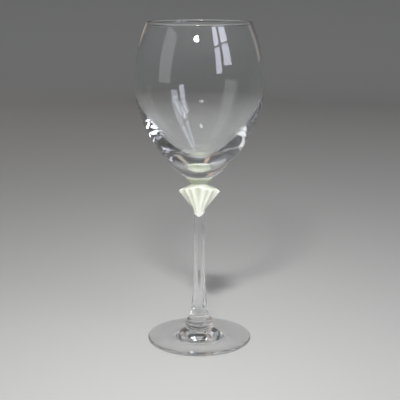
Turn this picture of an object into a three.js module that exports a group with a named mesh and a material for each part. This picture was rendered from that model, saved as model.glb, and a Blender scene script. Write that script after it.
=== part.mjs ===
// Water glass: a clear tulip bowl on a frosted fan knop, a faceted stem and a round foot.
// Lengths are in millimetres and +Z is up. The origin is the middle of the foot, on the table.
// Each piece is shaped standing on its own height 0 and is then lifted onto the piece below it.
// The pieces are fused to each other hot, so neighbours share one flat round or eight-sided face.
import * as THREE from 'three';

// Foot
const footRadius = 36.1;
const footHeight = 7.6;
const footEdge = 2.2;
const footDish = 1.2;
const footLand = 4;

// Ring where the stem meets the foot
const footCollarHeight = 7.4;
const footCollarRadius = 10;
const footCollarSeatRadius = 9.4;

// Stem, measured over its corners where it is faceted
const stemHeight = 73.4;
const stemRootRadius = 6.9;
const stemWaistRadius = 3.45;
const stemTopRadius = 3.78;
const stemWaistHeight = 54;
const facetEndHeight = 8.7;
const facetScallop = 4;
const stemSides = 8;

// Fan knop
const knopHeight = 23;
const knopHalfWidth = 14;
const knopHalfDepth = 8.6;
const knopNeckRadius = 6.3;
const knopSpreadHeight = 4.6;
const knopLipHeight = 21.4;
const knopLipDrop = 3.1;
const knopLipRound = 0.6;
const knopFluteDepth = 1.1;
const knopLobe = 1;

// Neck and collar under the bowl
const bowlCollarHeight = 5.5;
const bowlCollarRadius = 9.45;
const bowlCollarSeatRadius = 9.2;

// Bowl
const bowlHeight = 103.1;
const bowlRadius = 43.5;
const bowlBellyHeight = 63;
const bowlRootRadius = 12.7;
const bowlRootHeight = 1.1;
const bowlWall = 1.3;
const bowlHeel = 8.5;
const rimRadius = 34.55;
const rimBeadRadius = 0.9;

// Directions of the bowl's outline, from the vertical
const rimLean = THREE.MathUtils.degToRad(22.8);
const rootLean = THREE.MathUtils.degToRad(51);

// How finely the surfaces are divided
const turns = 48;
const curveSteps = 7;
const fluteSteps = 4;
const knopTipSteps = 2;

const clearGlass = new THREE.MeshStandardMaterial({
  color: 0xdfe6e4,
  roughness: 0.03,
  metalness: 0,
  transparent: true,
  opacity: 0.35,
});
const frostedGlass = new THREE.MeshStandardMaterial({
  color: 0xf2f3ea,
  roughness: 0.6,
  metalness: 0,
});

const glass = new THREE.Group();

function addPiece(name, geometry, material, height) {
  const piece = new THREE.Mesh(geometry, material);
  piece.name = name;
  piece.position.z = height;
  glass.add(piece);
}

// Lathe profiles hold the radius in x and the height in y, from the axis round to the axis again.
function turned(profile) {
  const geometry = new THREE.LatheGeometry(profile, turns);
  geometry.rotateX(Math.PI / 2);
  return geometry;
}

function point(radius, height) {
  return new THREE.Vector2(radius, height);
}

// Points of a cubic curve after its first one, which the outline already holds.
function alongCurve(start, startHandle, endHandle, end, steps = curveSteps) {
  const curve = new THREE.CubicBezierCurve(start, startHandle, endHandle, end);
  return curve.getPoints(steps).slice(1);
}

// Joins closed rings of equally many points, the lowest first, and closes both ends flat.
function lofted(rings) {
  const count = rings[0].length;
  const positions = [];
  const faces = [];
  for (const ring of rings) {
    for (const corner of ring) {
      positions.push(corner.x, corner.y, corner.z);
    }
  }
  for (let level = 0; level + 1 < rings.length; level += 1) {
    for (let i = 0; i < count; i += 1) {
      const next = (i + 1) % count;
      const a = level * count + i;
      const b = level * count + next;
      const c = a + count;
      const d = b + count;
      faces.push(a, b, d, a, d, c);
    }
  }
  const lowerMiddle = rings.length * count;
  const upperMiddle = lowerMiddle + 1;
  const lastRing = (rings.length - 1) * count;
  positions.push(0, 0, rings[0][0].z);
  positions.push(0, 0, rings[rings.length - 1][0].z);
  for (let i = 0; i < count; i += 1) {
    const next = (i + 1) % count;
    faces.push(lowerMiddle, next, i);
    faces.push(upperMiddle, lastRing + i, lastRing + next);
  }
  const geometry = new THREE.BufferGeometry();
  geometry.setAttribute('position', new THREE.Float32BufferAttribute(positions, 3));
  geometry.setIndex(faces);
  return geometry;
}

// A many-sided outline whose flats lie the share flatShare of the corner radius from the axis.
// The cosine of half a side's angle makes the flats meet in corners, and 1 makes a circle.
function facetedRadius(angle, flatShare) {
  const side = 2 * Math.PI / stemSides;
  const fromFlat = THREE.MathUtils.euclideanModulo(angle, side) - side / 2;
  return Math.min(1, flatShare / Math.cos(fromFlat));
}

const cornerFlatShare = Math.cos(Math.PI / stemSides);

// Foot: a thin disc that rises to the ring, rests on a flat land and is hollowed underneath.
function footGeometry() {
  const roundRadius = footEdge / 2;
  const landOuter = footRadius - roundRadius;
  const landInner = landOuter - footLand;
  const dishFlatShare = 0.5;
  const dishEdgeShare = 0.8;
  const brimReachShare = 0.55;
  const brimRiseShare = 0.16;
  const hubReachShare = 0.2;
  const hubFallShare = 0.52;
  const edgeSteps = 6;
  const span = landOuter - footCollarSeatRadius;
  const rise = footHeight - footEdge;
  const edgeTop = point(landOuter, footEdge);
  const hub = point(footCollarSeatRadius, footHeight);
  const profile = [point(0, footDish)];
  profile.push(...alongCurve(
    profile[0],
    point(landInner * dishFlatShare, footDish),
    point(landInner * dishEdgeShare, 0),
    point(landInner, 0),
  ));
  for (let i = 0; i < edgeSteps; i += 1) {
    const turn = Math.PI * i / edgeSteps - Math.PI / 2;
    profile.push(point(
      landOuter + roundRadius * Math.cos(turn),
      roundRadius + roundRadius * Math.sin(turn),
    ));
  }
  profile.push(edgeTop);
  profile.push(...alongCurve(
    edgeTop,
    point(landOuter - span * brimReachShare, footEdge + rise * brimRiseShare),
    point(footCollarSeatRadius + span * hubReachShare, footHeight - rise * hubFallShare),
    hub,
  ));
  profile.push(point(0, footHeight));
  return turned(profile);
}

// Ring at the foot: a full round bead of glass that draws in to the stem.
function footCollarGeometry() {
  const widestShare = 0.42;
  const lowerSwellShare = 0.6;
  const upperSwellShare = 0.75;
  const topFallShare = 0.06;
  const widest = point(footCollarRadius, footCollarHeight * widestShare);
  const seat = point(footCollarSeatRadius, 0);
  const top = point(stemRootRadius, footCollarHeight);
  const beadSteps = 5;
  const profile = [point(0, 0), seat];
  profile.push(...alongCurve(
    seat,
    point(footCollarSeatRadius + (footCollarRadius - footCollarSeatRadius) * lowerSwellShare, 0),
    point(footCollarRadius, widest.y * (1 - lowerSwellShare)),
    widest,
    beadSteps,
  ));
  profile.push(...alongCurve(
    widest,
    point(footCollarRadius, widest.y + (footCollarHeight - widest.y) * upperSwellShare),
    point(
      stemRootRadius + (footCollarRadius - stemRootRadius) * (1 - upperSwellShare),
      footCollarHeight * (1 - topFallShare),
    ),
    top,
    beadSteps,
  ));
  profile.push(point(0, footCollarHeight));
  return turned(profile);
}

// Stem: corner radius at a height, wide at the root, narrowest at the waist, wider again on top.
function stemOutline() {
  const root = point(stemRootRadius, 0);
  const waist = point(stemWaistRadius, stemWaistHeight);
  const top = point(stemTopRadius, stemHeight);
  const rootRiseShare = 0.17;
  const rootDrawShare = 0.4;
  const waistReachShare = 0.55;
  const draw = stemRootRadius - stemWaistRadius;
  const lower = new THREE.CubicBezierCurve(
    root,
    point(stemRootRadius - draw * rootDrawShare, stemWaistHeight * rootRiseShare),
    point(stemWaistRadius, stemWaistHeight * (1 - waistReachShare)),
    waist,
  );
  const upper = new THREE.CubicBezierCurve(
    waist,
    point(stemWaistRadius, THREE.MathUtils.lerp(stemWaistHeight, stemHeight, 1 / 3)),
    point(stemTopRadius, THREE.MathUtils.lerp(stemHeight, stemWaistHeight, 1 / 3)),
    top,
  );
  return { lower, upper };
}

// Parameter of a rising curve at a height, by halving.
function parameterAtHeight(curve, height) {
  const halvings = 30;
  let low = 0;
  let high = 1;
  for (let i = 0; i < halvings; i += 1) {
    const middle = (low + high) / 2;
    if (curve.getPoint(middle).y < height) {
      low = middle;
    } else {
      high = middle;
    }
  }
  return (low + high) / 2;
}

function stemRing(corner, flatShare) {
  const ring = [];
  for (let i = 0; i < turns; i += 1) {
    const angle = 2 * Math.PI * i / turns;
    const radius = corner.x * facetedRadius(angle, flatShare);
    ring.push(new THREE.Vector3(radius * Math.cos(angle), radius * Math.sin(angle), corner.y));
  }
  return ring;
}

// The flats run out in small scallops above the round root of the stem.
function stemGeometry() {
  const { lower, upper } = stemOutline();
  const scallopSteps = 5;
  const upperSteps = 4;
  const scallopEndHeight = facetEndHeight - facetScallop;
  const rings = [stemRing(lower.getPoint(0), 1)];
  for (let i = 0; i <= scallopSteps; i += 1) {
    const height = scallopEndHeight + facetScallop * i / scallopSteps;
    const runOut = 1 - i / scallopSteps;
    const flatShare = THREE.MathUtils.lerp(cornerFlatShare, 1, runOut * runOut);
    rings.push(stemRing(lower.getPoint(parameterAtHeight(lower, height)), flatShare));
  }
  const facetStart = parameterAtHeight(lower, facetEndHeight);
  for (let i = 1; i <= curveSteps; i += 1) {
    const parameter = THREE.MathUtils.lerp(facetStart, 1, i / curveSteps);
    rings.push(stemRing(lower.getPoint(parameter), cornerFlatShare));
  }
  for (let i = 1; i <= upperSteps; i += 1) {
    rings.push(stemRing(upper.getPoint(i / upperSteps), cornerFlatShare));
  }
  return lofted(rings);
}

// Fan knop: five hollow flutes on each face meet in ridges and end in a lobed lip.
// The ridges stand at these angles round the knop's oval, from the tip of the fan to its middle.
const ridgeAngles = [6, 49, 72, 108, 131, 174].map((angle) => THREE.MathUtils.degToRad(angle));

// Half the fan's loop as oval angles, each with its place across its flute, from tip to tip.
function halfLoop() {
  const stations = [];
  for (let i = 0; i < knopTipSteps; i += 1) {
    stations.push({ angle: ridgeAngles[0] * i / knopTipSteps, across: null });
  }
  for (let flute = 0; flute + 1 < ridgeAngles.length; flute += 1) {
    for (let i = 0; i < fluteSteps; i += 1) {
      const across = i / fluteSteps;
      const angle = THREE.MathUtils.lerp(ridgeAngles[flute], ridgeAngles[flute + 1], across);
      stations.push({ angle, across, from: ridgeAngles[flute], to: ridgeAngles[flute + 1] });
    }
  }
  const lastRidge = ridgeAngles[ridgeAngles.length - 1];
  for (let i = 0; i < knopTipSteps; i += 1) {
    const angle = THREE.MathUtils.lerp(lastRidge, Math.PI, i / knopTipSteps);
    stations.push({ angle, across: null });
  }
  return stations;
}

function fanLoop() {
  const half = halfLoop();
  const back = half.map((station) => ({
    ...station,
    angle: station.angle + Math.PI,
    from: station.from + Math.PI,
    to: station.to + Math.PI,
  }));
  return [...half, ...back];
}

function onOval(angle, halfWidth, halfDepth) {
  return new THREE.Vector3(halfWidth * Math.cos(angle), halfDepth * Math.sin(angle), 0);
}

// How far a point is into its flute: 0 on both ridges and 1 in the middle.
function hollow(station) {
  if (station.across === null) {
    return 0;
  }
  return 4 * station.across * (1 - station.across);
}

// A flute is the straight chord between its two ridges, sunk towards the axis in a hollow.
function inFlute(station, halfWidth, halfDepth, depth) {
  if (station.across === null) {
    return onOval(station.angle, halfWidth, halfDepth);
  }
  const from = onOval(station.from, halfWidth, halfDepth);
  const to = onOval(station.to, halfWidth, halfDepth);
  const chord = to.clone().sub(from);
  const inward = new THREE.Vector3(-chord.y, chord.x, 0).normalize();
  return from.addScaledVector(chord, station.across).addScaledVector(inward, depth * hollow(station));
}

// Height of the lip: highest in the middle of each face, lowest at the tips, with a lobe per flute.
// It falls off at an even rate towards the tips, and the middle is rounded over a small share.
function lipHeight(station) {
  const roundShare = 0.15;
  const towardsTip = Math.abs(Math.cos(station.angle));
  const fallShare = (1 + roundShare) * towardsTip ** 2 / (towardsTip + roundShare);
  return knopLipHeight - knopLipDrop * fallShare + knopLobe * hollow(station);
}

function smooth(value) {
  return THREE.MathUtils.smoothstep(value, 0, 1);
}

// One ring of the fan's faces: level 0 is the eight-sided root and 1 is just under the lip.
// The sides rise straight up and then spread in a straight line to the tips.
function fanRing(loop, level) {
  const rootShare = 0.28;
  const bendShare = 0.18;
  const fluteGrowth = 1.3;
  const depthGrowth = 1.4;
  const faceTop = knopLipHeight - knopLipRound;
  const tipTop = faceTop - knopLipDrop;
  const bend = knopSpreadHeight * bendShare;
  const spreadAt = (height) => bend * Math.log1p(Math.exp((height - knopSpreadHeight) / bend));
  const slope = (knopHalfWidth - stemTopRadius) / spreadAt(tipTop);
  const tipHeight = faceTop * level - knopLipDrop * level * level;
  const halfWidth = stemTopRadius + slope * spreadAt(tipHeight);
  const halfDepth = THREE.MathUtils.lerp(stemTopRadius, knopHalfDepth, level ** depthGrowth);
  const rounded = smooth(level / rootShare);
  return loop.map((station, i) => {
    const angle = 2 * Math.PI * i / loop.length;
    const rootRadius = halfWidth * facetedRadius(angle, cornerFlatShare);
    const root = new THREE.Vector3(rootRadius * Math.cos(angle), rootRadius * Math.sin(angle), 0);
    const oval = onOval(station.angle, halfWidth, halfDepth);
    const fluted = inFlute(station, halfWidth, halfDepth, knopFluteDepth);
    const spot = root.lerp(oval.lerp(fluted, level ** fluteGrowth), rounded);
    const lipRise = lipHeight(station) - knopLipHeight;
    spot.z = faceTop * level + lipRise * level * level;
    return spot;
  });
}

// The lip is rounded over, and then the shoulder dips a little and climbs to the round neck.
function lipRing(loop, top, turn) {
  return loop.map((station, i) => {
    const outward = new THREE.Vector3(
      Math.cos(station.angle) / knopHalfWidth,
      Math.sin(station.angle) / knopHalfDepth,
      0,
    ).normalize();
    const spot = top[i].clone().addScaledVector(outward, knopLipRound * (Math.cos(turn) - 1));
    spot.z += knopLipRound * Math.sin(turn);
    return spot;
  });
}

function shoulderRing(lip, share) {
  const sagShare = 0.11;
  return lip.map((from, i) => {
    const angle = 2 * Math.PI * i / lip.length;
    const neck = new THREE.Vector3(
      knopNeckRadius * Math.cos(angle),
      knopNeckRadius * Math.sin(angle),
      knopHeight,
    );
    const sag = from.distanceTo(neck) * sagShare * 4 * share * (1 - share);
    const spot = from.clone().lerp(neck, share);
    spot.z -= sag;
    return spot;
  });
}

function knopGeometry() {
  const levelShares = [0, 0.08, 0.16, 0.23, 0.3, 0.4, 0.52, 0.64, 0.76, 0.88, 1];
  const lipSteps = 3;
  const shoulderSteps = 3;
  const loop = fanLoop();
  const rings = levelShares.map((level) => fanRing(loop, level));
  const top = rings[rings.length - 1];
  for (let i = 1; i <= lipSteps; i += 1) {
    rings.push(lipRing(loop, top, Math.PI / 2 * i / lipSteps));
  }
  const lip = rings[rings.length - 1];
  for (let i = 1; i <= shoulderSteps; i += 1) {
    rings.push(shoulderRing(lip, i / shoulderSteps));
  }
  return lofted(rings);
}

// Neck under the bowl: a short waist that opens into a sharp-edged collar.
function bowlCollarGeometry() {
  const waistDrawShare = 0.83;
  const waistHeightShare = 0.16;
  const flareReachShare = 0.81;
  const flareHeightShare = 0.44;
  const edgeHeightShare = 0.76;
  const edgeRoundShare = 0.6;
  const edge = point(bowlCollarRadius, bowlCollarHeight * edgeHeightShare);
  const neck = point(knopNeckRadius, 0);
  const edgeSteps = 3;
  const profile = [point(0, 0), neck];
  profile.push(...alongCurve(
    neck,
    point(knopNeckRadius * waistDrawShare, bowlCollarHeight * waistHeightShare),
    point(bowlCollarRadius * flareReachShare, bowlCollarHeight * flareHeightShare),
    edge,
  ));
  profile.push(...alongCurve(
    edge,
    point(bowlCollarRadius, THREE.MathUtils.lerp(edge.y, bowlCollarHeight, edgeRoundShare)),
    point(bowlCollarSeatRadius, bowlCollarHeight),
    point(bowlCollarSeatRadius, bowlCollarHeight),
    edgeSteps,
  ));
  profile.push(point(0, bowlCollarHeight));
  return turned(profile);
}

// Points of the inner wall beside a curve of the outline, from one share of the curve to another.
function innerWall(curve, startShare, endShare, steps) {
  const points = [];
  for (let i = 0; i <= steps; i += 1) {
    const parameter = THREE.MathUtils.lerp(startShare, endShare, i / steps);
    const along = curve.getTangent(parameter);
    points.push(curve.getPoint(parameter).add(point(-along.y * bowlWall, along.x * bowlWall)));
  }
  return points;
}

// Bowl: the outline rises from a thick heel to the belly and draws in to a beaded rim.
// The inside follows the wall to just below the belly and then draws in, so the glass thickens to the heel.
function bowlGeometry() {
  const rootHandleShare = 0.48;
  const bellyHandleShare = 0.22;
  const upperBellyHandleShare = 0.25;
  const rimHandleShare = 0.46;
  const filletDrawShare = 0.3;
  const filletRiseShare = 0.16;
  const thickeningShare = 0.85;
  const heelFlatShare = 0.33;
  const heelWallShare = 0.5;
  const beadSteps = 4;
  const filletSteps = 3;
  const wallSteps = 10;
  const thinWallSteps = 2;
  const heelSteps = 12;
  const upperSpan = bowlHeight - bowlBellyHeight;
  const rimUp = point(-Math.sin(rimLean), Math.cos(rimLean));
  const rimOut = point(Math.cos(rimLean), Math.sin(rimLean));
  const rimMiddle = point(rimRadius, bowlHeight - rimBeadRadius);
  const beadDrop = Math.sqrt(rimBeadRadius ** 2 - (bowlWall / 2) ** 2);
  const rimOuter = rimMiddle.clone().addScaledVector(rimOut, bowlWall / 2);
  rimOuter.addScaledVector(rimUp, -beadDrop);
  const root = point(bowlRootRadius, bowlRootHeight);
  const rootUp = point(Math.sin(rootLean), Math.cos(rootLean));
  const belly = point(bowlRadius, bowlBellyHeight);
  const lower = new THREE.CubicBezierCurve(
    root,
    root.clone().addScaledVector(rootUp, bowlBellyHeight * rootHandleShare),
    point(bowlRadius, bowlBellyHeight * (1 - bellyHandleShare)),
    belly,
  );
  const upper = new THREE.CubicBezierCurve(
    belly,
    point(bowlRadius, bowlBellyHeight + upperSpan * upperBellyHandleShare),
    rimOuter.clone().addScaledVector(rimUp, -upperSpan * rimHandleShare),
    rimOuter,
  );

  const seat = point(bowlCollarSeatRadius, 0);
  const profile = [point(0, 0), seat];
  profile.push(...alongCurve(
    seat,
    point(THREE.MathUtils.lerp(seat.x, root.x, filletDrawShare), root.y * filletRiseShare),
    root.clone().addScaledVector(rootUp, -bowlRootHeight / 2),
    root,
    filletSteps,
  ));
  profile.push(...lower.getPoints(wallSteps).slice(1));
  profile.push(...upper.getPoints(curveSteps).slice(1));

  const beadHalfTurn = Math.PI - Math.asin(bowlWall / 2 / rimBeadRadius);
  const outerTurn = beadHalfTurn - rimLean;
  const innerTurn = -beadHalfTurn - rimLean;
  for (let i = 1; i < 2 * beadSteps; i += 1) {
    const ahead = i / beadSteps;
    const turn = ahead < 1
      ? THREE.MathUtils.lerp(outerTurn, 0, ahead)
      : THREE.MathUtils.lerp(0, innerTurn, ahead - 1);
    const reach = rimBeadRadius * Math.sin(turn);
    profile.push(rimMiddle.clone().add(point(reach, rimBeadRadius * Math.cos(turn))));
  }

  profile.push(...innerWall(upper, 1, 0, curveSteps));
  profile.push(...innerWall(lower, 1, thickeningShare, thinWallSteps).slice(1));
  const innerEnd = profile[profile.length - 1];
  const innerUp = lower.getTangent(thickeningShare);
  const heelReach = (innerEnd.y - bowlHeel) * heelWallShare / innerUp.y;
  profile.push(...alongCurve(
    innerEnd,
    innerEnd.clone().addScaledVector(innerUp, -heelReach),
    point(innerEnd.x * heelFlatShare, bowlHeel),
    point(0, bowlHeel),
    heelSteps,
  ));
  return turned(profile);
}

const footCollarBase = footHeight;
const stemBase = footCollarBase + footCollarHeight;
const knopBase = stemBase + stemHeight;
const bowlCollarBase = knopBase + knopHeight;
const bowlBase = bowlCollarBase + bowlCollarHeight;

addPiece('foot', footGeometry(), clearGlass, 0);
addPiece('foot_collar', footCollarGeometry(), clearGlass, footCollarBase);
addPiece('stem', stemGeometry(), clearGlass, stemBase);
addPiece('fan_knop', knopGeometry(), frostedGlass, knopBase);
addPiece('bowl_collar', bowlCollarGeometry(), frostedGlass, bowlCollarBase);
addPiece('bowl', bowlGeometry(), clearGlass, bowlBase);

export default glass;
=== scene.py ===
"""Water glass: a clear tulip bowl on a frosted fan knop, with a faceted stem and a round foot.

Every length is in metres, +Z is up and the foot rests on z = 0. The pieces follow the frame's boxes,
so each one has the height and width of the solid that it stands for.
"""
import math
from collections import namedtuple

import bpy
import numpy as np
from bpy.props import FloatProperty, FloatVectorProperty, PointerProperty
from bpy.types import Operator, Panel, PropertyGroup
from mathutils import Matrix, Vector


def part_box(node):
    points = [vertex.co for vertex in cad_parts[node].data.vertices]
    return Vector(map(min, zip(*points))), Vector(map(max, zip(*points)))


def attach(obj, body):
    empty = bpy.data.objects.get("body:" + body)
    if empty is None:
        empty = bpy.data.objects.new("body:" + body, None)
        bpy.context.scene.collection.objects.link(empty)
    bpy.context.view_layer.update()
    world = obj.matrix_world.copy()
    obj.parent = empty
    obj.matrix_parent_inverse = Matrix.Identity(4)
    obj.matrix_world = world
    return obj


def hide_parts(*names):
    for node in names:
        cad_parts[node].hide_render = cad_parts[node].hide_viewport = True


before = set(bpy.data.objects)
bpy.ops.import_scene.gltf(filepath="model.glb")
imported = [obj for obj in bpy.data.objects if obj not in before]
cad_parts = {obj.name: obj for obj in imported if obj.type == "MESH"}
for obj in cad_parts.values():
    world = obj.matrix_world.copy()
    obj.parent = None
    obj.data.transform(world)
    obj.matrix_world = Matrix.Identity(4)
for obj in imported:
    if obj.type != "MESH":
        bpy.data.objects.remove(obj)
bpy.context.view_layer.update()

bl_info = {
    "name": "Water glass with a fan knop",
    "version": (1, 0, 0),
    "blender": (4, 5, 0),
    "location": "3D View > Sidebar > Water glass",
    "description": "Makes a stemmed water glass with a frosted fan knop, piece by piece",
    "category": "Add Mesh",
}

MM = 0.001
UP = np.array([0, 0, 1])
BODY = "root"

# Soda-lime glass
GLASS_IOR = 1.52

STEM_SIDES = 8

# The knop's ridges stand at these angles round its oval, from one tip of the fan to the other
RIDGE_ANGLES = np.radians([6, 49, 72, 108, 131, 174])
FLUTE_STEPS = 16
TIP_STEPS = 8

# Points round every ring: the steps in the knop's flutes and in its two tips, on both faces
TURNS = 2 * ((len(RIDGE_ANGLES) - 1) * FLUTE_STEPS + 2 * TIP_STEPS)

# How often a ring's creases are softened, and the angle from which an edge stays sharp to the eye
SOFT_PASSES = 4
KNOP_SOFT_PASSES = 3
SHARP_ANGLE = math.radians(32)

# Each piece's materials, in the order that glass_materials returns them
CLEAR, FUSED, ETCHED = 0, 1, 2


def linear(hex_colour, alpha=1.0):
    """Turns an sRGB colour written as six hex digits into linear red, green, blue and alpha.

    A dark part of the colour is divided by the slope. To any other one the offset is added, the sum is
    divided by one and the offset, and raised to the power.
    """
    dark_end = 0.04045
    dark_slope = 12.92
    offset = 0.055
    power = 2.4
    parts = [int(hex_colour[i:i + 2], 16) / 255 for i in (0, 2, 4)]
    values = [
        part / dark_slope if part <= dark_end else ((part + offset) / (1 + offset)) ** power
        for part in parts
    ]
    return (*values, alpha)


def length(name, description, default):
    """A size in metres that a user can change."""
    return FloatProperty(
        name=name, description=description, default=default, min=0.0, precision=5, unit="LENGTH"
    )


def lean(name, description, degrees):
    """A direction of the outline, as its angle from the vertical."""
    return FloatProperty(
        name=name, description=description, default=math.radians(degrees), unit="ROTATION"
    )


def colour(name, description, hex_colour):
    """A surface colour, kept linear and written as sRGB hex."""
    return FloatVectorProperty(
        name=name, description=description, default=linear(hex_colour), size=4,
        subtype="COLOR", min=0.0, max=1.0,
    )


class FootSizes(PropertyGroup):
    edge: length("Edge", "Thickness of the foot at its rounded edge", 2.2 * MM)
    dish: length("Dish", "Depth of the hollow under the foot", 1.2 * MM)
    land: length("Land", "Width of the flat ring that the foot rests on", 4 * MM)
    seat: length("Seat radius", "Radius where the ring sits on the foot", 9.4 * MM)


class StemSizes(PropertyGroup):
    waist: length("Waist radius", "Corner radius where the stem is thinnest", 3.45 * MM)
    waist_height: length("Waist height", "Height of the thinnest place above the ring", 54 * MM)
    top: length("Top radius", "Corner radius where the knop begins", 3.78 * MM)
    facet_end: length("Facet end", "Height above the ring where the flats begin to run out", 8.7 * MM)
    scallop: length("Scallop", "Height over which a flat runs out in an arc", 4 * MM)


class KnopSizes(PropertyGroup):
    half_depth: length("Half depth", "Half the depth of the oval that the ridges stand on", 8.6 * MM)
    neck: length("Neck radius", "Radius where the neck leaves the knop", 6.3 * MM)
    spread: length("Spread height", "Height where the fan begins to spread", 4.6 * MM)
    lip: length("Lip height", "Height of the fan's lip in the middle of a face", 21.4 * MM)
    lip_drop: length("Lip drop", "How much lower the lip is at the tips", 3.1 * MM)
    lip_round: length("Lip rounding", "Radius over the fan's lip", 0.6 * MM)
    flute: length("Flute depth", "How deep each flute is under its ridges at the lip", 1.1 * MM)
    lobe: length("Lobe", "How far the lip rises in the middle of a flute", 1.0 * MM)


class BowlSizes(PropertyGroup):
    belly: length("Belly height", "Height of the widest place above the collar", 63 * MM)
    seat: length("Seat radius", "Radius where the bowl sits on the collar", 9.2 * MM)
    root: length("Root radius", "Radius where the bowl's round outline begins", 12.7 * MM)
    root_height: length("Root height", "Height of that place above the collar", 1.1 * MM)
    wall: length("Wall", "Thickness of the bowl from the belly up", 1.3 * MM)
    heel: length("Heel", "Solid glass under the bottom of the bowl", 8.5 * MM)
    rim: length("Rim radius", "Radius to the middle of the rim's bead", 34.55 * MM)
    bead: length("Bead radius", "Radius of the bead round the rim", 0.9 * MM)
    rim_lean: lean("Rim lean", "How far the wall leans in at the rim", 22.8)
    root_lean: lean("Root lean", "How far the wall leans out at the root", 51)


class GlassFinish(PropertyGroup):
    clear: colour("Clear glass", "Tint of the clear glass", "FDFEFE")
    frosted: colour("Frosted glass", "Colour of the etched glass", "FCFEF1")
    # Painted shade: this greyer colour stands for the shade in the flutes' hollows and round the neck
    thin_frost: colour("Thin frost", "Colour where the acid bit least, in the flutes", "D4D9CA")
    floor: colour("Floor", "Colour of the floor", "BCBCB9")
    backdrop: colour("Backdrop", "Colour of the wall round the floor", "A2A2A0")
    grain: length("Grain", "Width of the acid's grain, as coarse as it needs to show", 0.3 * MM)
    wave_length: length("Wave length", "Length of the waves in blown glass", 18 * MM)
    wave_height: length("Wave height", "Height of the waves in blown glass", 0.02 * MM)


def cubic(start, start_handle, end_handle, end, steps):
    """Cubic curve: the four controls weighted by (1-t)^3, 3(1-t)^2 t, 3(1-t) t^2 and t^3."""
    t = np.linspace(0, 1, steps + 1)[:, None]
    controls = [np.asarray(p, float) for p in (start, start_handle, end_handle, end)]
    weights = [(1 - t) ** 3, 3 * (1 - t) ** 2 * t, 3 * (1 - t) * t ** 2, t ** 3]
    return sum(weight * control for weight, control in zip(weights, controls))


def inward_normals(points):
    """Unit normals on the left of a line of points, from the central difference of its points."""
    along = np.gradient(points, axis=0)
    along /= np.linalg.norm(along, axis=1)[:, None]
    return np.column_stack([-along[:, 1], along[:, 0]])


def softened(points, passes):
    """Rounds the creases of closed loops: half of each point plus a quarter of each neighbour."""
    for _ in range(passes):
        points = points / 2 + (np.roll(points, 1, axis=-2) + np.roll(points, -1, axis=-2)) / 4
    return points


def angles_round(count):
    """Angles of evenly spaced points round a whole turn: 2 pi i / count."""
    return 2 * np.pi * np.arange(count) / count


def turned_rings(profile, count):
    """Rings of a turned shape: radius r and height z become (r cos a, r sin a, z) round the axis."""
    angle = angles_round(count)
    radius, height = profile[:, 0, None], profile[:, 1, None]
    return np.stack(
        [radius * np.cos(angle), radius * np.sin(angle), height + 0 * angle], axis=-1
    )


def new_piece(name, rings, poles, finish, stands_for, painted_shade_and_gloss=0):
    """Closes rings into a piece.

    Point j of ring i joins point j + 1 and the same points of ring i + 1 in one face, and each end
    closes in a fan of triangles about its pole. A face takes the material that finish gives by number:
    one for the low end, one or a grid of them for the faces between the rings, and one for the high
    end. Each point keeps its share of painted shade and gloss: 0 under a full white satin, and 1 where
    the satin is painted greyest, as shade, and is glossiest, where the acid bit least.
    """
    levels, count = rings.shape[:2]
    index = np.arange(levels * count).reshape(levels, count)
    after = np.roll(index, -1, axis=1)
    quads = np.stack([index[:-1], after[:-1], after[1:], index[1:]], axis=-1).reshape(-1, 4)
    low = np.column_stack([np.full(count, levels * count), after[0], index[0]])
    high = np.column_stack([np.full(count, levels * count + 1), index[-1], after[-1]])
    centres = [[0, 0, height] for height in poles]
    points = np.vstack([rings.reshape(-1, 3), centres])
    mesh = bpy.data.meshes.new(name)
    mesh.from_pydata(points.tolist(), [], low.tolist() + quads.tolist() + high.tolist())
    for material in glass_materials():
        mesh.materials.append(material)
    low_finish, side_finish, high_finish = finish
    sides = np.broadcast_to(side_finish, (levels - 1, count)).ravel()
    numbers = np.concatenate([np.full(count, low_finish), sides, np.full(count, high_finish)])
    mesh.polygons.foreach_set("material_index", numbers.astype(np.int32))
    # Each point's share of painted shade and gloss, kept in an attribute for the etched material
    share = np.broadcast_to(painted_shade_and_gloss, (levels, count)).ravel()
    share = np.concatenate([share, [0, 0]]).astype(np.float32)
    mesh.attributes.new("painted_shade_and_gloss", "FLOAT", "POINT").data.foreach_set("value", share)
    mesh.shade_smooth()
    mesh.set_sharp_from_angle(angle=SHARP_ANGLE)
    mesh.validate()
    piece = bpy.data.objects.new(name, mesh)
    bpy.context.scene.collection.objects.link(piece)
    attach(piece, BODY)
    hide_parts(stands_for)


def turned_piece(name, profile, finish, stands_for, painted_shade_and_gloss=0):
    """A turned piece of glass from a profile that starts and ends on the axis."""
    poles = profile[0, 1], profile[-1, 1]
    rings = turned_rings(profile[1:-1], TURNS)
    new_piece(name, rings, poles, finish, stands_for, painted_shade_and_gloss)


def add_node(tree, kind, settings=(), **links):
    """Adds a node, sets its properties and input values, and links the inputs named in links.

    An underscore in the name of a link stands for a space in the name of its input.
    """
    node = tree.nodes.new(kind)
    for key, value in dict(settings).items():
        if isinstance(key, int) or key in node.inputs:
            node.inputs[key].default_value = value
        else:
            setattr(node, key, value)
    for key, socket in links.items():
        tree.links.new(socket, node.inputs[key.replace("_", " ")])
    return node


def new_material(name):
    """A material with an empty node tree."""
    material = bpy.data.materials.new(name)
    material.use_nodes = True
    material.node_tree.nodes.clear()
    return material


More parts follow.
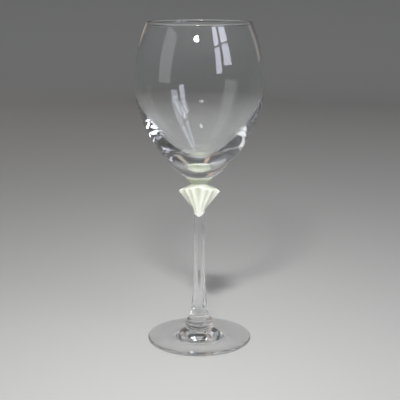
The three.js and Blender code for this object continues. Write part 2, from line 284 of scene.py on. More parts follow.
def fire_polished_glass():
    """Blown soda-lime glass, fire polished: clear with sharp reflections, bent a little by long waves.

    Light that falls on a matt surface behind it passes straight through, less what the glass mirrors:
    4 % head on, and more as the angle grows, by the fifth power of one less its cosine. So the glass
    throws a pale shadow with a darker edge.
    """
    wave_detail = 1.0
    # With an even blend, Facing is one less the cosine of the angle
    even_blend = 0.5
    # Share that passes head on, and the power by which less passes towards the edge
    passes_head_on = 0.957
    grazing_power = 5.0
    finish = bpy.context.scene.glass_finish
    material = new_material("fire_polished_glass")
    tree = material.node_tree
    place = add_node(tree, "ShaderNodeTexCoord").outputs["Object"]
    waves = add_node(tree, "ShaderNodeTexNoise", {
        "Scale": 1 / finish.wave_length, "Detail": wave_detail,
    }, Vector=place)
    wavy = add_node(tree, "ShaderNodeBump", {
        "Strength": 1.0, "Distance": finish.wave_height,
    }, Height=waves.outputs["Fac"])
    shader = add_node(tree, "ShaderNodeBsdfPrincipled", {
        "Base Color": finish.clear,
        "Roughness": 0.0,
        "IOR": GLASS_IOR,
        "Transmission Weight": 1.0,
    }, Normal=wavy.outputs["Normal"])
    facing = add_node(tree, "ShaderNodeLayerWeight", {"Blend": even_blend}).outputs["Facing"]
    grazing = add_node(tree, "ShaderNodeMath", {"operation": "POWER", 1: grazing_power})
    tree.links.new(facing, grazing.inputs[0])
    passed = add_node(tree, "ShaderNodeMapRange", {
        "From Min": 0.0, "From Max": 1.0, "To Min": passes_head_on, "To Max": 0.0,
    }, Value=grazing.outputs[0])
    through = add_node(tree, "ShaderNodeBsdfTransparent", Color=passed.outputs[0])
    path = add_node(tree, "ShaderNodeLightPath")
    onward = add_node(tree, "ShaderNodeMath", {"operation": "MAXIMUM"})
    tree.links.new(path.outputs["Is Shadow Ray"], onward.inputs[0])
    tree.links.new(path.outputs["Is Diffuse Ray"], onward.inputs[1])
    either = add_node(tree, "ShaderNodeMixShader", Fac=onward.outputs[0])
    tree.links.new(shader.outputs[0], either.inputs[1])
    tree.links.new(through.outputs[0], either.inputs[2])
    add_node(tree, "ShaderNodeOutputMaterial", Surface=either.outputs[0])
    return material


def fused_joint():
    """Inside of a hot joint, which the eye doesn't see: the glass is one body there, so light goes on."""
    material = new_material("fused_joint")
    tree = material.node_tree
    shader = add_node(tree, "ShaderNodeBsdfTransparent")
    add_node(tree, "ShaderNodeOutputMaterial", Surface=shader.outputs[0])
    return material


def acid_etched_glass():
    """Pressed glass etched with acid: a creamy white satin with broad soft highlights.

    Light spreads a few millimetres inside it, so the narrow lip and the ridges glow. In the flutes and
    round the neck its colour is painted greyer, as shade, and there it is also a little glossier, where
    the acid bit least. The roughness also changes in patches as wide as an acid bath leaves them. The
    real grain is finer than a pixel, so it is drawn as coarse as it needs to show.
    """
    patch_width = 4 * MM
    noise_detail = 2.0
    # The patches' noise seldom leaves this range
    noise_low = 0.35
    noise_high = 0.65
    glow_depth = 3 * MM
    # Light spreads a little less in blue, so the glow is warm
    glow_by_colour = (1, 1, 0.9)
    glow_weight = 0.8
    # Share of the light that falls through to the far side
    through_share = 0.3
    # The grain's height is this share of its width
    grain_height_share = 1 / 10
    grain_strength = 0.5
    # Roughness in the smoothest and the roughest patch, and how much smoother it is where etched least
    smooth_patch = 0.42
    rough_patch = 0.55
    thin_gloss = 0.25
    finish = bpy.context.scene.glass_finish
    material = new_material("acid_etched_glass")
    tree = material.node_tree
    place = add_node(tree, "ShaderNodeTexCoord").outputs["Object"]
    grain = add_node(tree, "ShaderNodeTexNoise", {
        "Scale": 1 / finish.grain, "Detail": noise_detail,
    }, Vector=place)
    rough = add_node(tree, "ShaderNodeBump", {
        "Strength": grain_strength, "Distance": finish.grain * grain_height_share,
    }, Height=grain.outputs["Fac"])
    patches = add_node(tree, "ShaderNodeTexNoise", {
        "Scale": 1 / patch_width, "Detail": noise_detail,
    }, Vector=place)
    satin = add_node(tree, "ShaderNodeMapRange", {
        "From Min": noise_low, "From Max": noise_high, "To Min": smooth_patch, "To Max": rough_patch,
    }, Value=patches.outputs["Fac"])
    # Share of painted shade and gloss at each point: the colour turns greyer as painted shade, and the
    # roughness falls
    thin = add_node(tree, "ShaderNodeAttribute", {"attribute_name": "painted_shade_and_gloss"}).outputs["Fac"]
    gloss = add_node(tree, "ShaderNodeMath", {"operation": "MULTIPLY_ADD", 1: -thin_gloss})
    tree.links.new(thin, gloss.inputs[0])
    tree.links.new(satin.outputs[0], gloss.inputs[2])
    # Painted shade: the satin's colour goes towards the greyer frost by that share
    tint = add_node(tree, "ShaderNodeMix", {
        "data_type": "RGBA", "A": finish.frosted, "B": finish.thin_frost,
    }, Factor=thin)
    skin = add_node(tree, "ShaderNodeBsdfPrincipled", {
        "IOR": GLASS_IOR,
        "Subsurface Weight": glow_weight,
        "Subsurface Radius": glow_by_colour,
        "Subsurface Scale": glow_depth,
    }, Base_Color=tint.outputs[2], Roughness=gloss.outputs[0], Normal=rough.outputs["Normal"])
    glow = add_node(
        tree, "ShaderNodeBsdfTranslucent", Color=tint.outputs[2], Normal=rough.outputs["Normal"]
    )
    body = add_node(tree, "ShaderNodeMixShader", {0: through_share})
    tree.links.new(skin.outputs[0], body.inputs[1])
    tree.links.new(glow.outputs[0], body.inputs[2])
    add_node(tree, "ShaderNodeOutputMaterial", Surface=body.outputs[0])
    return material


def glass_materials():
    """The three finishes of the glass, in the order of CLEAR, FUSED and ETCHED."""
    makers = (fire_polished_glass, fused_joint, acid_etched_glass)
    return [bpy.data.materials.get(maker.__name__) or maker() for maker in makers]


def matt_paper():
    """Uncoated paper on the floor and the wall: an even pale grey without gloss, darker up the wall."""
    tint_height = 0.5
    roughness = 0.9
    specular = 0.1
    finish = bpy.context.scene.glass_finish
    material = new_material("matt_paper")
    tree = material.node_tree
    place = add_node(tree, "ShaderNodeTexCoord").outputs["Object"]
    level = add_node(tree, "ShaderNodeSeparateXYZ", Vector=place).outputs["Z"]
    climb = add_node(tree, "ShaderNodeMapRange", {
        "interpolation_type": "SMOOTHSTEP", "From Min": 0.0, "From Max": tint_height,
    }, Value=level)
    tint = add_node(tree, "ShaderNodeMix", {
        "data_type": "RGBA", "A": finish.floor, "B": finish.backdrop,
    }, Factor=climb.outputs[0])
    shader = add_node(tree, "ShaderNodeBsdfPrincipled", {
        "Roughness": roughness, "Specular IOR Level": specular,
    }, Base_Color=tint.outputs[2])
    add_node(tree, "ShaderNodeOutputMaterial", Surface=shader.outputs[0])
    return material


def faceted_radius(angle, sides, flat_share):
    """Distance of a polygon's side at an angle, as a share of its corner radius.

    It is the share in the middle of a flat over the cosine of the angle from there, and at most 1.
    """
    side = 2 * np.pi / sides
    from_flat = np.mod(angle, side) - side / 2
    return np.minimum(1, flat_share / np.cos(from_flat))


def stem_flat_share():
    """Distance of the stem's flats as a share of its corner radius: the cosine of half a side."""
    return math.cos(math.pi / STEM_SIDES)


def foot_profile(sizes, radius, height):
    """Outline of the foot from the axis round to the axis.

    A cubic curve draws the hollow underneath, a half circle draws the edge, and another cubic curve
    climbs from the edge to the ring.
    """
    dish_flat_share = 0.5
    dish_edge_share = 0.8
    brim_reach_share = 0.55
    brim_rise_share = 0.16
    hub_reach_share = 0.2
    hub_fall_share = 0.52
    dish_steps = 40
    edge_points = 17
    slope_steps = 60
    round_radius = sizes.edge / 2
    land_outer = radius - round_radius
    land_inner = land_outer - sizes.land
    span = land_outer - sizes.seat
    rise = height - sizes.edge
    turn = np.linspace(-np.pi / 2, np.pi / 2, edge_points)
    under = cubic(
        (0, sizes.dish),
        (land_inner * dish_flat_share, sizes.dish),
        (land_inner * dish_edge_share, 0),
        (land_inner, 0),
        dish_steps,
    )
    edge = np.column_stack([
        land_outer + round_radius * np.cos(turn), round_radius + round_radius * np.sin(turn)
    ])
    top = cubic(
        (land_outer, sizes.edge),
        (land_outer - span * brim_reach_share, sizes.edge + rise * brim_rise_share),
        (sizes.seat + span * hub_reach_share, height - rise * hub_fall_share),
        (sizes.seat, height),
        slope_steps,
    )
    return np.vstack([under, edge, top[1:], [[0, height]]])


def foot_ring_profile(seat, widest_radius, root, low, high):
    """Outline of the ring from the axis at the height low to the axis at the height high.

    Two cubic curves swell from the seat to the widest place and draw in to the stem's root.
    """
    widest_share = 0.42
    lower_swell_share = 0.6
    lower_rise_share = 0.4
    upper_swell_share = 0.75
    root_reach_share = 0.25
    top_fall_share = 0.06
    steps = 24
    height = high - low
    widest = np.array([widest_radius, low + height * widest_share])
    lower = cubic(
        (seat, low),
        (seat + (widest_radius - seat) * lower_swell_share, low),
        (widest_radius, low + height * widest_share * lower_rise_share),
        widest,
        steps,
    )
    upper = cubic(
        widest,
        (widest_radius, widest[1] + (high - widest[1]) * upper_swell_share),
        (root + (widest_radius - root) * root_reach_share, high - height * top_fall_share),
        (root, high),
        steps,
    )
    return np.vstack([[[0, low]], lower, upper[1:], [[0, high]]])


def stem_outline(sizes, root, height):
    """Corner radius and height along the stem: a cubic curve down to the waist and one up to the knop.

    The second one has its handles a third of its height from its ends, straight above each other.
    """
    root_draw_share = 0.4
    root_rise_share = 0.17
    waist_rise_share = 0.45
    lower_steps = 400
    upper_steps = 60
    draw = root - sizes.waist
    waist = (sizes.waist, sizes.waist_height)
    lower = cubic(
        (root, 0),
        (root - draw * root_draw_share, sizes.waist_height * root_rise_share),
        (sizes.waist, sizes.waist_height * waist_rise_share),
        waist,
        lower_steps,
    )
    third = (height - sizes.waist_height) / 3
    upper = cubic(
        waist,
        (sizes.waist, sizes.waist_height + third),
        (sizes.top, height - third),
        (sizes.top, height),
        upper_steps,
    )
    return np.vstack([lower, upper[1:]])


def stem_rings(sizes, root, height):
    """Rings of the stem above its own foot.

    Each ring is the corner radius at its height times faceted_radius. The flats lie at the stem's
    flat share, and in the scallop this share goes up to 1, a circle, by the square of the way down.
    """
    root_steps = 10
    scallop_steps = 40
    facet_points = 80
    outline = stem_outline(sizes, root, height)
    scallop_end = sizes.facet_end - sizes.scallop
    heights = np.concatenate([
        np.linspace(0, scallop_end, root_steps, endpoint=False),
        np.linspace(scallop_end, sizes.facet_end, scallop_steps, endpoint=False),
        np.linspace(sizes.facet_end, height, facet_points),
    ])
    radius = np.interp(heights, outline[:, 1], outline[:, 0])
    run_out = np.clip((sizes.facet_end - heights) / sizes.scallop, 0, 1) ** 2
    flat_share = stem_flat_share() + (1 - stem_flat_share()) * run_out
    angle = angles_round(TURNS)
    reach = radius[:, None] * faceted_radius(angle, STEM_SIDES, flat_share[:, None])
    plan = softened(np.stack([reach * np.cos(angle), reach * np.sin(angle)], axis=-1), SOFT_PASSES)
    level = np.broadcast_to(heights[:, None, None], (*plan.shape[:2], 1))
    return np.concatenate([plan, level], axis=-1)


def fan_stations():
    """Oval angle of each point round the fan, the angles of its flute's ridges and its place across.

    A tip has no flute, so there the ridges' angles are the point's own.
    """
    first, last = RIDGE_ANGLES[0], RIDGE_ANGLES[-1]
    tip = np.linspace(0, first, TIP_STEPS, endpoint=False)
    far_tip = np.linspace(last, np.pi, TIP_STEPS, endpoint=False)
    across = np.tile(np.arange(FLUTE_STEPS) / FLUTE_STEPS, len(RIDGE_ANGLES) - 1)
    start = np.repeat(RIDGE_ANGLES[:-1], FLUTE_STEPS)
    end = np.repeat(RIDGE_ANGLES[1:], FLUTE_STEPS)
    angle = np.concatenate([tip, start + (end - start) * across, far_tip])
    start = np.concatenate([tip, start, far_tip])
    end = np.concatenate([tip, end, far_tip])
    none = np.zeros(TIP_STEPS)
    across = np.concatenate([none, across, none])
    return (
        np.concatenate([angle, angle + np.pi]),
        np.concatenate([start, start + np.pi]),
        np.concatenate([end, end + np.pi]),
        np.concatenate([across, across]),
    )


def hollow(across):
    """How far a point is into its flute, 0 on a ridge and 1 in the middle: 4 a (1 - a)."""
    return 4 * across * (1 - across)


def lip_fall(angle):
    """Share of the lip's drop at an oval angle: 0 in the middle of a face and 1 at a tip.

    With c as the size of the angle's cosine it is (1 + s) c^2 / (c + s), where s rounds the middle.
    """
    round_share = 0.15
    towards_tip = np.abs(np.cos(angle))
    return (1 + round_share) * towards_tip ** 2 / (towards_tip + round_share)


def fan_spread(sizes, half_width, root_radius, level):
    """Half width and half depth of the fan's oval, from its root at level 0 to its lip at level 1.

    The tips rise with the level and fall back by the lip's drop times its square. With the tip's
    height h the width grows by spread_at: hardly at all below the spread height s, and in a straight
    line above it, with a bend of the length b between. The depth grows by a power of the level.
    """
    bend_share = 0.18
    depth_power = 1.4
    bend = sizes.spread * bend_share
    face_top = sizes.lip - sizes.lip_round

    def spread_at(height):
        """How far the fan has spread at a height above the stem: b log(1 + exp((h - s) / b))."""
        return bend * np.log1p(np.exp((height - sizes.spread) / bend))

    slope = (half_width - root_radius) / spread_at(face_top - sizes.lip_drop)
    tip_height = face_top * level - sizes.lip_drop * level ** 2
    wide = root_radius + slope * spread_at(tip_height)
    deep = root_radius + (sizes.half_depth - root_radius) * level ** depth_power
    return wide, deep


def on_oval(wide, deep, angle):
    """Points on an oval: half its width times the angle's cosine, half its depth times the sine."""
    return np.stack([wide * np.cos(angle), deep * np.sin(angle)], axis=-1)


def fluted_oval(wide, deep, depth):
    """Plan of the fan with its flutes at their full depth.

    A flute is the straight chord between its two ridges, sunk inwards by the depth times its hollow.
    Round the tips, which have no flute, the plan stays on the oval.
    """
    least_chord = 1e-12
    angle, start, end, across = fan_stations()
    from_ridge = on_oval(wide, deep, start)
    chord = on_oval(wide, deep, end) - from_ridge
    inward = np.stack([-chord[..., 1], chord[..., 0]], axis=-1)
    inward /= np.maximum(np.linalg.norm(inward, axis=-1), least_chord)[..., None]
    sunk = from_ridge + chord * across[:, None] + inward * (depth * hollow(across))[:, None]
    return np.where((start == end)[:, None], on_oval(wide, deep, angle), sunk)


def fan_faces(sizes, half_width, root_radius, level):
    """Rings of the fan's faces, one for each level from the stem's eight sides to the edge of the lip.

    The plan turns from the eight-sided root to the oval by the smooth step 3 u^2 - 2 u^3, where u is
    the level as a share of the root's. The flutes sink in by a power of the level. The height is the
    level times the height of the face, with the lobes and the drop of the lip added by its square.
    """
    root_share = 0.28
    flute_power = 1.3
    angle, _, _, across = fan_stations()
    wide, deep = fan_spread(sizes, half_width, root_radius, level)
    oval = on_oval(wide, deep, angle)
    fluted = fluted_oval(wide, deep, sizes.flute)
    round_angle = angles_round(TURNS)
    corner_share = faceted_radius(round_angle, STEM_SIDES, stem_flat_share())
    sides = corner_share[:, None] * np.column_stack([np.cos(round_angle), np.sin(round_angle)])
    root = wide[..., None] * sides
    way = np.clip(level / root_share, 0, 1)
    rounded = (way * way * (3 - 2 * way))[..., None]
    sunk = (level ** flute_power)[..., None]
    plan = root + (oval + (fluted - oval) * sunk - root) * rounded
    lip_rise = sizes.lobe * hollow(across) - sizes.lip_drop * lip_fall(angle)
    height = (sizes.lip - sizes.lip_round) * level + lip_rise * level ** 2
    return np.concatenate([plan, height[..., None]], axis=-1)


def fan_lip(sizes, half_width, edge):
    """Rings over the lip: from its edge a quarter circle goes in by r (1 - cos t) and up by r sin t.

    It goes in along the oval's normal: cos a over half the width and sin a over half the depth.
    """
    lip_points = 9
    angle = fan_stations()[0]
    outward = np.column_stack([
        np.cos(angle) / half_width, np.sin(angle) / sizes.half_depth, 0 * angle
    ])
    outward /= np.linalg.norm(outward, axis=1)[:, None]
    turn = np.linspace(0, np.pi / 2, lip_points)[1:, None, None]
    return edge + sizes.lip_round * (outward * (np.cos(turn) - 1) + UP * np.sin(turn))


def fan_shoulder(sizes, lip_top, height, share):
    """Rings of the shoulder, one for each share of the way from the lip's top to the round neck.

    Each point goes straight there and sags by 4 s (1 - s) times a small share of its whole way, where
    s is the share of the way.
    """
    sag_share = 0.11
    angle = angles_round(TURNS)
    neck = np.column_stack([
        sizes.neck * np.cos(angle), sizes.neck * np.sin(angle), np.full(TURNS, height)
    ])
    way = neck - lip_top
    sag = np.linalg.norm(way, axis=1)[:, None] * sag_share * 4 * share * (1 - share)
    return lip_top + way * share - UP * sag


def knop_thin_etch(level, lip_count, shoulder_share):
    """Share of painted shade and gloss at each point of the knop: painted greyer, as shade, and glossier.

    In a flute it is the cube of its hollow times the squared sine of the oval angle, so it shows in
    the middle flutes and hardly at the tips. It grows with the level of the face, holds over the lip
    and goes up to 1 along the shoulder, where the neck begins.
    """
    angle, _, _, across = fan_stations()
    # Painted shade and gloss, deepest in the hollows of the middle flutes
    thin = hollow(across) ** 3 * np.sin(angle) ** 2
    return np.concatenate([
        thin * level,
        np.tile(thin, (lip_count, 1)),
        1 + (thin - 1) * (1 - shoulder_share),
    ])


def knop_finish(rings, base):
    """Finish of each face of the knop: clear up to the frosting's border, and etched above it.

    The border hangs lowest in the middle and climbs by the square of the distance from it, so the
    frosting ends in a rounded point on the stem. A face counts by the mean of its four corners.
    """
    border_height = 0.5 * MM
    border_rise = 1.9 * MM
    border_reach = 2.9 * MM
    after = np.roll(rings, -1, axis=1)
    middle = (rings[:-1] + rings[1:] + after[:-1] + after[1:]) / 4
    climb = np.minimum(1, (middle[..., 0] / border_reach) ** 2)
    border = base + border_height + border_rise * climb
    return np.where(middle[..., 2] < border, CLEAR, ETCHED)


def neck_profile(neck, seat, edge_radius, low, high):
    """Outline of the neck from the axis at the height low to the axis at the height high.

    A cubic curve draws in to a waist and flares to the collar's edge, and another rounds the edge
    over to the bowl's seat. The seat lies a hair under the bowl, because two opaque surfaces in one
    place would show as a black spot.
    """
    waist_draw_share = 0.83
    waist_height_share = 0.16
    flare_reach_share = 0.81
    flare_height_share = 0.44
    edge_height_share = 0.76
    edge_round_share = 0.6
    seat_edge_share = 0.99
    seat_gap = 0.05 * MM
    flare_steps = 32
    brim_steps = 12
    height = high - low
    edge = (edge_radius, low + height * edge_height_share)
    flare = cubic(
        (neck, low),
        (neck * waist_draw_share, low + height * waist_height_share),
        (edge_radius * flare_reach_share, low + height * flare_height_share),
        edge,
        flare_steps,
    )
    brim = cubic(
        edge,
        (edge_radius, edge[1] + (high - edge[1]) * edge_round_share),
        (seat, high),
        (seat, high),
        brim_steps,
    )
    seat_floor = high - seat_gap
    top = [[seat * seat_edge_share, seat_floor], [0, seat_floor]]
    return np.vstack([[[0, low]], flare, brim[1:], top])


def rim_frame(sizes, height):
    """Middle of the rim's bead, and the directions up along the wall and outwards across it."""
    middle = np.array([sizes.rim, height - sizes.bead])
    rim_up = np.array([-math.sin(sizes.rim_lean), math.cos(sizes.rim_lean)])
    rim_out = np.array([math.cos(sizes.rim_lean), math.sin(sizes.rim_lean)])
    return middle, rim_up, rim_out


def bowl_outside(sizes, radius, height):
    """Outside of the bowl: the fillet on the collar, the lower wall and the upper wall.

    All three are cubic curves. Their handles stand upright at the belly, where the walls meet, and lie
    along the wall's lean at the root and the rim. The upper wall ends where its outer side meets the
    bead: down from the bead's middle by the root of b^2 - (w / 2)^2, with the bead's radius b and the
    wall's thickness w.
    """
    root_handle_share = 0.48
    belly_handle_share = 0.22
    upper_belly_handle_share = 0.25
    rim_handle_share = 0.46
    fillet_draw_share = 0.3
    fillet_rise_share = 0.16
    fillet_steps = 10
    lower_steps = 90
    upper_steps = 60
    middle, rim_up, rim_out = rim_frame(sizes, height)
    bead_drop = math.sqrt(sizes.bead ** 2 - (sizes.wall / 2) ** 2)
    rim_outer = middle + rim_out * sizes.wall / 2 - rim_up * bead_drop
    root = np.array([sizes.root, sizes.root_height])
    root_up = np.array([math.sin(sizes.root_lean), math.cos(sizes.root_lean)])
    belly = np.array([radius, sizes.belly])
    upper_span = height - sizes.belly
    fillet = cubic(
        (sizes.seat, 0),
        (sizes.seat + (root[0] - sizes.seat) * fillet_draw_share, root[1] * fillet_rise_share),
        root - root_up * sizes.root_height / 2,
        root,
        fillet_steps,
    )
    lower = cubic(
        root,
        root + root_up * sizes.belly * root_handle_share,
        (radius, sizes.belly * (1 - belly_handle_share)),
        belly,
        lower_steps,
    )
    upper = cubic(
        belly,
        (radius, sizes.belly + upper_span * upper_belly_handle_share),
        rim_outer - rim_up * upper_span * rim_handle_share,
        rim_outer,
        upper_steps,
    )
    return fillet, lower, upper


def rim_bead(sizes, height):
    """The bead round the rim: a circle about its middle, from the wall's outer to its inner side.

    Half its turn is pi less the angle whose sine is half the wall over the bead's radius.
    """
    bead_points = 33
    middle = rim_frame(sizes, height)[0]
    half_turn = math.pi - math.asin(sizes.wall / 2 / sizes.bead)
    turn = np.linspace(half_turn, -half_turn, bead_points)[1:-1, None] - sizes.rim_lean
    return middle + sizes.bead * np.hstack([np.sin(turn), np.cos(turn)])


def bowl_inside(sizes, lower, upper):
    """Inside of the bowl, from the rim down to the middle of its bottom.

    It follows the outside, moved in by the wall's thickness, to a little below the belly. From there
    a cubic curve draws in and lands level on the heel.
    """
    thin_wall_share = 0.85
    heel_wall_share = 0.5
    heel_flat_share = 0.33
    steps = 60
    upper_inner = upper + inward_normals(upper) * sizes.wall
    lower_inner = (lower + inward_normals(lower) * sizes.wall)[int(thin_wall_share * len(lower)):]
    end = lower_inner[0]
    end_up = lower_inner[1] - lower_inner[0]
    end_up /= np.linalg.norm(end_up)
    reach = (end[1] - sizes.heel) * heel_wall_share / end_up[1]
    bottom = cubic(
        end, end - end_up * reach, (end[0] * heel_flat_share, sizes.heel), (0, sizes.heel), steps
    )
    return np.vstack([upper_inner[::-1], lower_inner[::-1][1:], bottom[1:]])


def bowl_profile(sizes, radius, height):
    """Outline of the bowl: from the axis up the outside, over the bead and down the inside."""
    fillet, lower, upper = bowl_outside(sizes, radius, height)
    bead = rim_bead(sizes, height)
    inside = bowl_inside(sizes, lower, upper)
    return np.vstack([[[0, 0]], fillet, lower[1:], upper[1:], bead, inside])


class GLASS_OT_foot(Operator):
    """Makes the foot: a thin disc that rises to the ring, with a rounded edge and a hollow underneath"""

    bl_idname = "glass.foot"
    bl_label = "Foot"

    def execute(self, context):
        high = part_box("foot")[1]
        profile = foot_profile(context.scene.glass_foot, high.x, high.z)
        turned_piece("glass_foot", profile, (CLEAR, CLEAR, FUSED), "foot")
        return {"FINISHED"}


class GLASS_OT_foot_ring(Operator):
    """Makes the round bead of glass between the foot and the stem"""

    bl_idname = "glass.foot_ring"
    bl_label = "Foot ring"

    def execute(self, context):
        seat = context.scene.glass_foot.seat
        low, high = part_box("foot_collar")
        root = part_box("stem")[1].x
        profile = foot_ring_profile(seat, high.x, root, low.z, high.z)
        turned_piece("glass_foot_ring", profile, (FUSED, CLEAR, FUSED), "foot_collar")
        return {"FINISHED"}


class GLASS_OT_stem(Operator):
    """Makes the stem: eight flats that run out in scallops above a round root"""

    bl_idname = "glass.stem"
    bl_label = "Stem"

    def execute(self, context):
        low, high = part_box("stem")
        rings = stem_rings(context.scene.glass_stem, high.x, high.z - low.z)
        rings[..., 2] += low.z
        finish = (FUSED, CLEAR, FUSED)
        new_piece("glass_stem", rings, (low.z, high.z), finish, "stem")
        return {"FINISHED"}


class GLASS_OT_knop(Operator):
    """Makes the fan knop: five hollow flutes on each face, a lobed lip and a sloping shoulder"""

    bl_idname = "glass.knop"
    bl_label = "Fan knop"

    def execute(self, context):
        face_levels = 90
        shoulder_points = 17
        sizes = context.scene.glass_knop
        low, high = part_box("fan_knop")
        level = np.linspace(0, 1, face_levels)[:, None]
        share = np.linspace(0, 1, shoulder_points)[1:, None, None]
        faces = fan_faces(sizes, high.x, context.scene.glass_stem.top, level)
        lip = fan_lip(sizes, high.x, faces[-1])
        shoulder = fan_shoulder(sizes, lip[-1], high.z - low.z, share)
        rings = softened(np.concatenate([faces, lip, shoulder]), KNOP_SOFT_PASSES)
        rings[..., 2] += low.z
        finish = (FUSED, knop_finish(rings, low.z), FUSED)
        # Share of painted shade, a greyer satin, and of gloss at each point
        painted_shade_and_gloss = knop_thin_etch(level, len(lip), share[..., 0])
        new_piece(
            "glass_fan_knop", rings, (low.z, high.z), finish, "fan_knop", painted_shade_and_gloss
        )
        return {"FINISHED"}


class GLASS_OT_neck(Operator):
    """Makes the short neck under the bowl, which opens into an edged collar"""

    bl_idname = "glass.neck"
    bl_label = "Neck and collar"

    def execute(self, context):
        # The whole neck is painted greyer, as the shade under the bowl, and is a little glossier, where
        # the acid bit it least
        painted_shade_and_gloss = 1.0
        scene = context.scene
        low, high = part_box("bowl_collar")
        profile = neck_profile(scene.glass_knop.neck, scene.glass_bowl.seat, high.x, low.z, high.z)
        finish = (FUSED, ETCHED, ETCHED)
        turned_piece("glass_neck", profile, finish, "bowl_collar", painted_shade_and_gloss)
        return {"FINISHED"}


class GLASS_OT_bowl(Operator):
    """Makes the bowl: a thick heel, a thin wall and a beaded, fire-polished rim"""

    bl_idname = "glass.bowl"
    bl_label = "Bowl"

    def execute(self, context):
        low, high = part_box("bowl")
        profile = bowl_profile(context.scene.glass_bowl, high.x, high.z - low.z)
        profile[:, 1] += low.z
        turned_piece("glass_bowl", profile, (FUSED, CLEAR, CLEAR), "bowl")
        return {"FINISHED"}


def make_backdrop(scene):
    """The floor and the wall: a flat disc that bends up in a quarter circle into a round wall.

    They lie a hair under the foot, so that the two surfaces don't lie in one place.
    """
    floor_radius = 1.3
    bend = 0.6
    wall_top = 2.6
    gap = 0.05 * MM
    bend_points = 25
    count = 96
    arc = np.linspace(0, np.pi / 2, bend_points)
    curve = np.column_stack([floor_radius + bend * np.sin(arc), bend - bend * np.cos(arc)])
    profile = np.vstack([curve, [[floor_radius + bend, wall_top]]])
    profile[:, 1] -= gap
    points = turned_rings(profile, count)
    index = np.arange(points.size // 3).reshape(-1, count)
    after = np.roll(index, -1, axis=1)
    wall = np.stack([index[:-1], index[1:], after[1:], after[:-1]], axis=-1).reshape(-1, 4)
    mesh = bpy.data.meshes.new("backdrop")
    mesh.from_pydata(points.reshape(-1, 3).tolist(), [], wall.tolist() + [index[0].tolist()])
    mesh.materials.append(matt_paper())
    mesh.shade_smooth()
    floor = bpy.data.objects.new("backdrop", mesh)
    scene.collection.objects.link(floor)


def make_room_light(scene):
    """The soft light that comes from all sides."""
    strength = 0.25
    world = bpy.data.worlds.new("studio")
    scene.world = world
    world.use_nodes = True
    tree = world.node_tree
    tree.nodes.clear()
    sky = add_node(tree, "ShaderNodeBackground", {"Color": linear("D8D8D8"), "Strength": strength})
    add_node(tree, "ShaderNodeOutputWorld", Surface=sky.outputs[0])


# A lamp's place and the place it is aimed at, its width and height, its power in watts, the angle in
# degrees that it shines over, its tint and its shape
Lamp = namedtuple("Lamp", "place target size power spread tint shape", defaults=["RECTANGLE"])

# A window pane's place along its wall and above the floor, its width and height, and how bright it is
# to look at, in watts for each square metre and steradian
Pane = namedtuple("Pane", "side level width height radiance")


def hang_lamp(scene, name, lamp):
    """Hangs a lamp that lights and is mirrored, and that the camera doesn't see."""
    light = bpy.data.lights.new(name, "AREA")
    light.shape = lamp.shape
    light.size, light.size_y = lamp.size
    light.energy = lamp.power
    light.spread = math.radians(lamp.spread)
    light.color = linear(lamp.tint)[:3]
    hung = bpy.data.objects.new(name, light)
    hung.location = lamp.place
    aim = Vector(np.array(lamp.target) - np.array(lamp.place))
    hung.rotation_euler = aim.to_track_quat("-Z", "Y").to_euler()
    hung.visible_camera = False
    scene.collection.objects.link(hung)


def studio_lamps():
    """A soft light overhead, a small key in front, a fill at the left and two that light the edges."""
    on_glass = (0, 0, 0.12)
    return {
        "overhead": Lamp(
            place=(-0.3, 0.0, 1.6), target=on_glass, size=(2.0, 2.0),
            power=4.5, spread=180, tint="FFFFFF",
        ),
        "key": Lamp(
            place=(0.003, -0.40, 0.46), target=on_glass, size=(0.075, 0.034),
            power=1.38, spread=115, tint="FFFFFF", shape="ELLIPSE",
        ),
        "fill": Lamp(
            place=(-0.93, -0.63, 0.5), target=on_glass, size=(0.5, 0.8),
            power=1.1, spread=180, tint="FFFFFF",
        ),
        "edge_left": Lamp(
            place=(-0.55, 1.1, 0.65), target=on_glass, size=(0.24, 0.9),
            power=0.28, spread=180, tint="FFDCC0",
        ),
        "edge_right": Lamp(
            place=(0.75, 0.95, 0.65), target=on_glass, size=(0.24, 0.9),
            power=0.24, spread=180, tint="FFEEDD",
        ),
    }


def window_lamps():
    """The four panes of a window, which the bowl mirrors on its front and its back.

    They hang in one plane, away from the glass by a distance in the direction of the bearing, and face
    straight back. A pane's power is its radiance times pi times its area.
    """
    away = 1.1
    bearing = math.radians(50.5)
    panes = {
        "window_1": Pane(side=0.142, level=0.585, width=0.2755, height=0.36, radiance=5.0),
        "window_2": Pane(side=0.142, level=1.25, width=0.2755, height=0.9, radiance=6.0),
        "window_3": Pane(side=-0.1955, level=0.52, width=0.1985, height=0.46, radiance=5.0),
        "window_4": Pane(side=-0.1955, level=1.145, width=0.1985, height=0.71, radiance=6.0),
    }
    inwards = (-math.sin(bearing), math.cos(bearing))
    lamps = {}
    for name, pane in panes.items():
        x = away * math.sin(bearing) + pane.side * math.cos(bearing)
        y = -away * math.cos(bearing) + pane.side * math.sin(bearing)
        lamps[name] = Lamp(
            place=(x, y, pane.level), target=(x + inwards[0], y + inwards[1], pane.level),
            size=(pane.width, pane.height), power=pane.radiance * math.pi * pane.width * pane.height,
            spread=180, tint="ECEEFF",
        )
    return lamps


def make_camera(scene):
    """The camera, a little above the rim and 6 degrees to the right of the fan's front."""
    distance = 0.6403
    height = 0.2499
    lens = 86.41
    tilt = math.radians(13.19)
    azimuth = math.radians(6)
    aside = math.radians(0.042)
    data = bpy.data.cameras.new("camera")
    data.lens = lens
    camera = bpy.data.objects.new("camera", data)
    camera.location = (distance * math.sin(azimuth), -distance * math.cos(azimuth), height)
    camera.rotation_euler = (math.pi / 2 - tilt, 0, azimuth - aside)
    scene.collection.objects.link(camera)
    scene.camera = camera


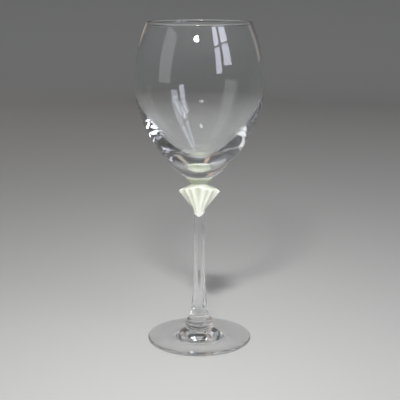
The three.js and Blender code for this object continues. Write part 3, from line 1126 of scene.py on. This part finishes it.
class GLASS_OT_stage(Operator):
    """Makes the pale floor and backdrop, the soft lamps and the camera"""

    bl_idname = "glass.stage"
    bl_label = "Stage"

    def execute(self, context):
        # Light crosses many surfaces of glass before it is lost
        glass_bounces = 32
        paper_bounces = 12
        scene = context.scene
        scene.view_settings.view_transform = "Standard"
        make_backdrop(scene)
        make_room_light(scene)
        for name, lamp in {**studio_lamps(), **window_lamps()}.items():
            hang_lamp(scene, name, lamp)
        make_camera(scene)
        scene.cycles.max_bounces = glass_bounces
        scene.cycles.diffuse_bounces = paper_bounces
        scene.cycles.glossy_bounces = glass_bounces
        scene.cycles.transmission_bounces = glass_bounces
        scene.cycles.transparent_max_bounces = glass_bounces
        return {"FINISHED"}


PIECES = (
    GLASS_OT_stage, GLASS_OT_foot, GLASS_OT_foot_ring, GLASS_OT_stem,
    GLASS_OT_knop, GLASS_OT_neck, GLASS_OT_bowl,
)


class GLASS_PT_pieces(Panel):
    """Lists the stage and the pieces of the glass"""

    bl_idname = "GLASS_PT_pieces"
    bl_label = "Water glass"
    bl_space_type = "VIEW_3D"
    bl_region_type = "UI"
    bl_category = "Water glass"

    def draw(self, context):
        for piece in PIECES:
            self.layout.operator(piece.bl_idname)


GROUPS = {
    "glass_foot": FootSizes,
    "glass_stem": StemSizes,
    "glass_knop": KnopSizes,
    "glass_bowl": BowlSizes,
    "glass_finish": GlassFinish,
}


def register():
    """Registers the groups of sizes, the operators and the panel."""
    for group in (*GROUPS.values(), *PIECES, GLASS_PT_pieces):
        bpy.utils.register_class(group)
    for name, group in GROUPS.items():
        setattr(bpy.types.Scene, name, PointerProperty(type=group))


def unregister():
    """Takes them out again."""
    for name in GROUPS:
        delattr(bpy.types.Scene, name)
    for group in reversed((*GROUPS.values(), *PIECES, GLASS_PT_pieces)):
        bpy.utils.unregister_class(group)


def main():
    """Makes the stage and the pieces."""
    register()
    bpy.ops.glass.stage()
    bpy.ops.glass.foot()
    bpy.ops.glass.foot_ring()
    bpy.ops.glass.stem()
    bpy.ops.glass.knop()
    bpy.ops.glass.neck()
    bpy.ops.glass.bowl()


if __name__ == "__main__":
    main()
